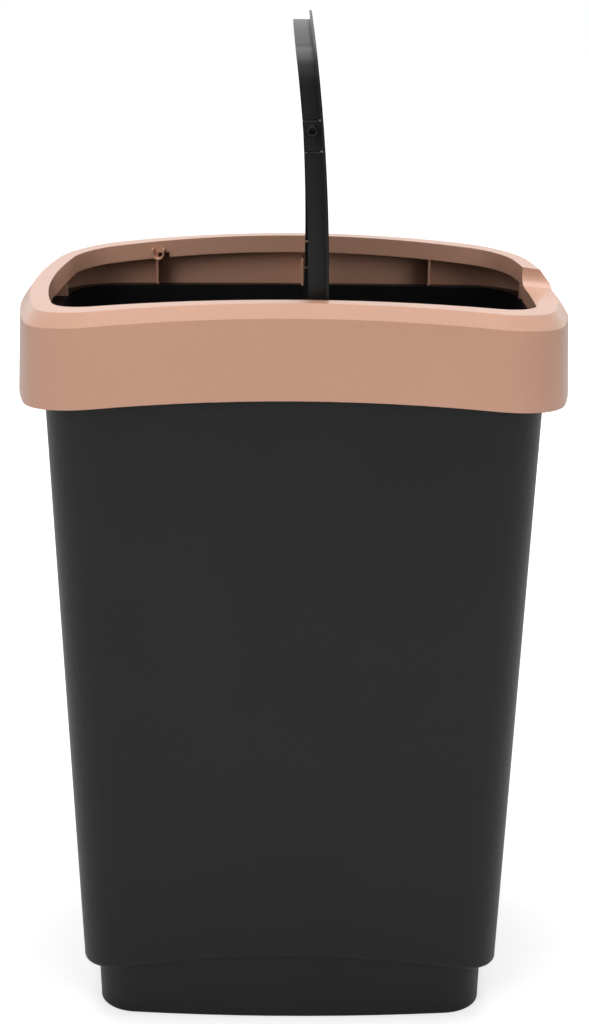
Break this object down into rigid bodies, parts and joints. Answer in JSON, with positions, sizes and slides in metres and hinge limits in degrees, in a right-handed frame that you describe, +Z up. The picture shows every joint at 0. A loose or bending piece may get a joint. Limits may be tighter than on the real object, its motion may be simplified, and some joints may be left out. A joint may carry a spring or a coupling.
{
  "type": "swing-lid trash can",
  "caption": "Tapered household waste bin with an arched collar on its rim and a swing lid that pivots upright in the mouth.",
  "frame": {"origin": "centre of the base, on the surface that the bin stands on", "axes": "+Z up through the tub; X along the bin's long side, with the finger notch at +X; +Y to the rear, along the lid's pin axis"},
  "size_m": [0.3424, 0.2418, 0.6298],
  "materials": {
    "tub_black": "satin black moulded plastic",
    "collar_rose": "satin rose-copper moulded plastic",
    "lid_black": "satin black moulded plastic"
  },
  "bodies": {
    "tub": {"tub": "tub_black"},
    "collar": {"collar": "collar_rose"},
    "lid": {"lid": "lid_black"}
  },
  "joints": [
    {"name": "collar_lift", "type": "slide", "parent": "tub", "child": "collar", "axis": [0, 0, 1], "range_m": [0, 0.12]},
    {"name": "lid_swing", "type": "hinge", "parent": "collar", "child": "lid", "pos_m": [0.0127, 0, 0.46773], "axis": [0, -1, 0], "range_deg": [0, 90]}
  ]
}
